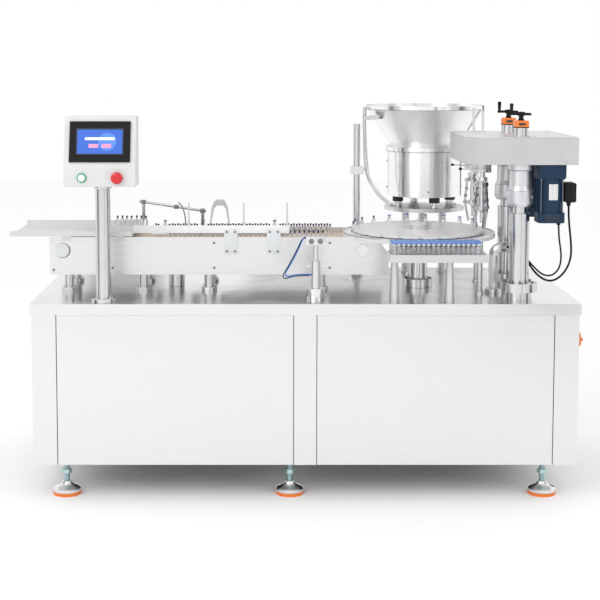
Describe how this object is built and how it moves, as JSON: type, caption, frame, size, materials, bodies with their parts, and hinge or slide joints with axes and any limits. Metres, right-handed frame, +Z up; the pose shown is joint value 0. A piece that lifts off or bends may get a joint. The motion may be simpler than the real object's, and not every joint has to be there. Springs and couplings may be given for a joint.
{
  "type": "vial capping machine",
  "caption": "Vial capping machine: steel cabinet with infeed conveyor, star wheel dial, cap hopper and twin crimping head.",
  "frame": {"origin": "middle of the machine's footprint, on the floor under its feet", "axes": "+Z up, +X towards the capping head's end, +Y from the operator's front to the back"},
  "size_m": [1.9516, 0.9744, 1.3213],
  "materials": {
    "satin_steel": "brushed",
    "polished_steel": "polished",
    "chromed_steel": "polished",
    "white_enclosure": "satin",
    "black_plastic": "satin",
    "screen_glass": "gloss",
    "white_plastic": "satin",
    "red_plastic": "gloss",
    "orange_plastic": "satin",
    "beige_belt": "matte",
    "satin_aluminium": "satin",
    "grey_painted_aluminium": "satin paint",
    "blue_painted_steel": "gloss paint",
    "black_lead": "matte",
    "blue_lead": "matte"
  },
  "bodies": {
    "machine": {"arch_guard": "polished_steel", "cabinet_body": "satin_steel", "cap_chute": "polished_steel", "chute_mast": "polished_steel", "conveyor_belt": "beige_belt", "conveyor_frame": "polished_steel", "deck_pan": "satin_steel", "dial_plate": "white_plastic", "discharge_tray": "satin_steel", "feeder_drum": "polished_steel", "feeder_plate": "satin_steel", "foot_front_centre": "chromed_steel", "foot_front_left": "chromed_steel", "foot_front_right": "chromed_steel", "foot_rear_centre": "chromed_steel", "foot_rear_left": "chromed_steel", "foot_rear_right": "chromed_steel", "front_panel_left": "satin_steel", "front_panel_right": "satin_steel", "gate_bar": "polished_steel", "guide_rail": "white_plastic", "hopper_cone": "polished_steel", "inner_rail": "polished_steel", "lead_conduit": "polished_steel", "loading_tray": "satin_steel", "panel_box": "white_enclosure", "panel_post": "polished_steel", "pillar_front": "chromed_steel", "pillar_rear": "chromed_steel", "position_indicator_front": "orange_plastic", "position_indicator_rear": "orange_plastic", "screen_bezel": "black_plastic", "sensor_lead": "blue_lead", "sensor_stand": "polished_steel", "start_ring": "black_plastic", "switch_plate": "orange_plastic", "touch_screen": "screen_glass"},
    "capping_head": {"head_beam": "grey_painted_aluminium", "gear_motor_front": "blue_painted_steel", "gear_motor_rear": "blue_painted_steel", "terminal_box": "black_plastic", "motor_lead": "black_lead"},
    "spindle_front": {"spindle_front": "chromed_steel"},
    "cone_sleeve_front": {"cone_sleeve_front": "polished_steel"},
    "crimp_arm_front_1": {"crimp_arm_front_1": "chromed_steel"},
    "crimp_arm_front_2": {"crimp_arm_front_2": "chromed_steel"},
    "crimp_arm_front_3": {"crimp_arm_front_3": "chromed_steel"},
    "spindle_rear": {"spindle_rear": "chromed_steel"},
    "cone_sleeve_rear": {"cone_sleeve_rear": "polished_steel"},
    "crimp_arm_rear_1": {"crimp_arm_rear_1": "chromed_steel"},
    "crimp_arm_rear_2": {"crimp_arm_rear_2": "chromed_steel"},
    "crimp_arm_rear_3": {"crimp_arm_rear_3": "chromed_steel"},
    "handwheel_front": {"handwheel_front": "black_plastic"},
    "handwheel_rear": {"handwheel_rear": "black_plastic"},
    "head_roller": {"head_roller": "polished_steel"},
    "tail_roller": {"tail_roller": "polished_steel"},
    "star_wheel": {"star_wheel": "satin_aluminium"},
    "start_button": {"start_button": "white_plastic"},
    "stop_button": {"stop_button": "red_plastic"},
    "switch_knob": {"switch_knob": "red_plastic"}
  },
  "joints": [
    {"name": "head_lift", "type": "slide", "parent": "machine", "child": "capping_head", "axis": [0, 0, 1], "range_m": [0, 0.025], "deforming": ["motor_lead"]},
    {"name": "spindle_front_turn", "type": "hinge", "parent": "capping_head", "child": "spindle_front", "pos_m": [0.65232, -0.17008, 0.954], "axis": [0, 0, 1], "continuous": true},
    {"name": "sleeve_front_slide", "type": "slide", "parent": "spindle_front", "child": "cone_sleeve_front", "axis": [0, 0, -1], "range_m": [0, 0.012]},
    {"name": "crimp_arm_front_1_swing", "type": "hinge", "parent": "spindle_front", "child": "crimp_arm_front_1", "pos_m": [0.67531, -0.15079, 0.954], "axis": [-0.6428, 0.766, 0], "range_deg": [0, 4.5]},
    {"name": "crimp_arm_front_2_swing", "type": "hinge", "parent": "spindle_front", "child": "crimp_arm_front_2", "pos_m": [0.62413, -0.15982, 0.954], "axis": [-0.342, -0.9397, 0], "range_deg": [0, 4.5]},
    {"name": "crimp_arm_front_3_swing", "type": "hinge", "parent": "spindle_front", "child": "crimp_arm_front_3", "pos_m": [0.65753, -0.19962, 0.954], "axis": [0.9848, 0.1736, 0], "range_deg": [0, 4.5]},
    {"name": "spindle_rear_turn", "type": "hinge", "parent": "capping_head", "child": "spindle_rear", "pos_m": [0.65232, 0.03038, 0.954], "axis": [0, 0, 1], "continuous": true},
    {"name": "sleeve_rear_slide", "type": "slide", "parent": "spindle_rear", "child": "cone_sleeve_rear", "axis": [0, 0, -1], "range_m": [0, 0.012]},
    {"name": "crimp_arm_rear_1_swing", "type": "hinge", "parent": "spindle_rear", "child": "crimp_arm_rear_1", "pos_m": [0.67531, 0.04966, 0.954], "axis": [-0.6428, 0.766, 0], "range_deg": [0, 4.5]},
    {"name": "crimp_arm_rear_2_swing", "type": "hinge", "parent": "spindle_rear", "child": "crimp_arm_rear_2", "pos_m": [0.62413, 0.04064, 0.954], "axis": [-0.342, -0.9397, 0], "range_deg": [0, 4.5]},
    {"name": "crimp_arm_rear_3_swing", "type": "hinge", "parent": "spindle_rear", "child": "crimp_arm_rear_3", "pos_m": [0.65753, 0.00083, 0.954], "axis": [0.9848, 0.1736, 0], "range_deg": [0, 4.5]},
    {"name": "handwheel_front_turn", "type": "hinge", "parent": "machine", "child": "handwheel_front", "pos_m": [0.7562, -0.31985, 1.2793], "axis": [0, 0, 1], "range_deg": [0, 900]},
    {"name": "handwheel_rear_turn", "type": "hinge", "parent": "machine", "child": "handwheel_rear", "pos_m": [0.7562, -0.08485, 1.2793], "axis": [0, 0, 1], "range_deg": [0, 900]},
    {"name": "head_roller_turn", "type": "hinge", "parent": "machine", "child": "head_roller", "pos_m": [0.2392, -0.05485, 0.809], "axis": [0, 1, 0], "continuous": true},
    {"name": "tail_roller_turn", "type": "hinge", "parent": "machine", "child": "tail_roller", "pos_m": [-0.8018, -0.05485, 0.809], "axis": [0, 1, 0], "continuous": true},
    {"name": "star_wheel_turn", "type": "hinge", "parent": "machine", "child": "star_wheel", "pos_m": [0.4442, -0.06985, 0.861], "axis": [0, 0, 1], "continuous": true},
    {"name": "start_button_press", "type": "slide", "parent": "machine", "child": "start_button", "axis": [0, 1, 0], "range_m": [0, 0.003], "stiffness_N_per_m": 800},
    {"name": "stop_button_press", "type": "slide", "parent": "machine", "child": "stop_button", "axis": [0, 1, 0], "range_m": [0, 0.004], "stiffness_N_per_m": 800},
    {"name": "switch_turn", "type": "hinge", "parent": "machine", "child": "switch_knob", "pos_m": [0.9458, -0.31485, 0.522], "axis": [1, 0, 0], "range_deg": [0, 90]}
  ],
  "couplings": [
    {"joint": "crimp_arm_front_1_swing", "follows": "sleeve_front_slide", "rad_per_m": 6.5443},
    {"joint": "crimp_arm_front_2_swing", "follows": "sleeve_front_slide", "rad_per_m": 6.5443},
    {"joint": "crimp_arm_front_3_swing", "follows": "sleeve_front_slide", "rad_per_m": 6.5443},
    {"joint": "crimp_arm_rear_1_swing", "follows": "sleeve_rear_slide", "rad_per_m": 6.5443},
    {"joint": "crimp_arm_rear_2_swing", "follows": "sleeve_rear_slide", "rad_per_m": 6.5443},
    {"joint": "crimp_arm_rear_3_swing", "follows": "sleeve_rear_slide", "rad_per_m": 6.5443},
    {"joint": "handwheel_front_turn", "follows": "head_lift", "rad_per_m": 628.26},
    {"joint": "handwheel_rear_turn", "follows": "head_lift", "rad_per_m": 628.26},
    {"joint": "tail_roller_turn", "follows": "head_roller_turn", "ratio": 1}
  ]
}
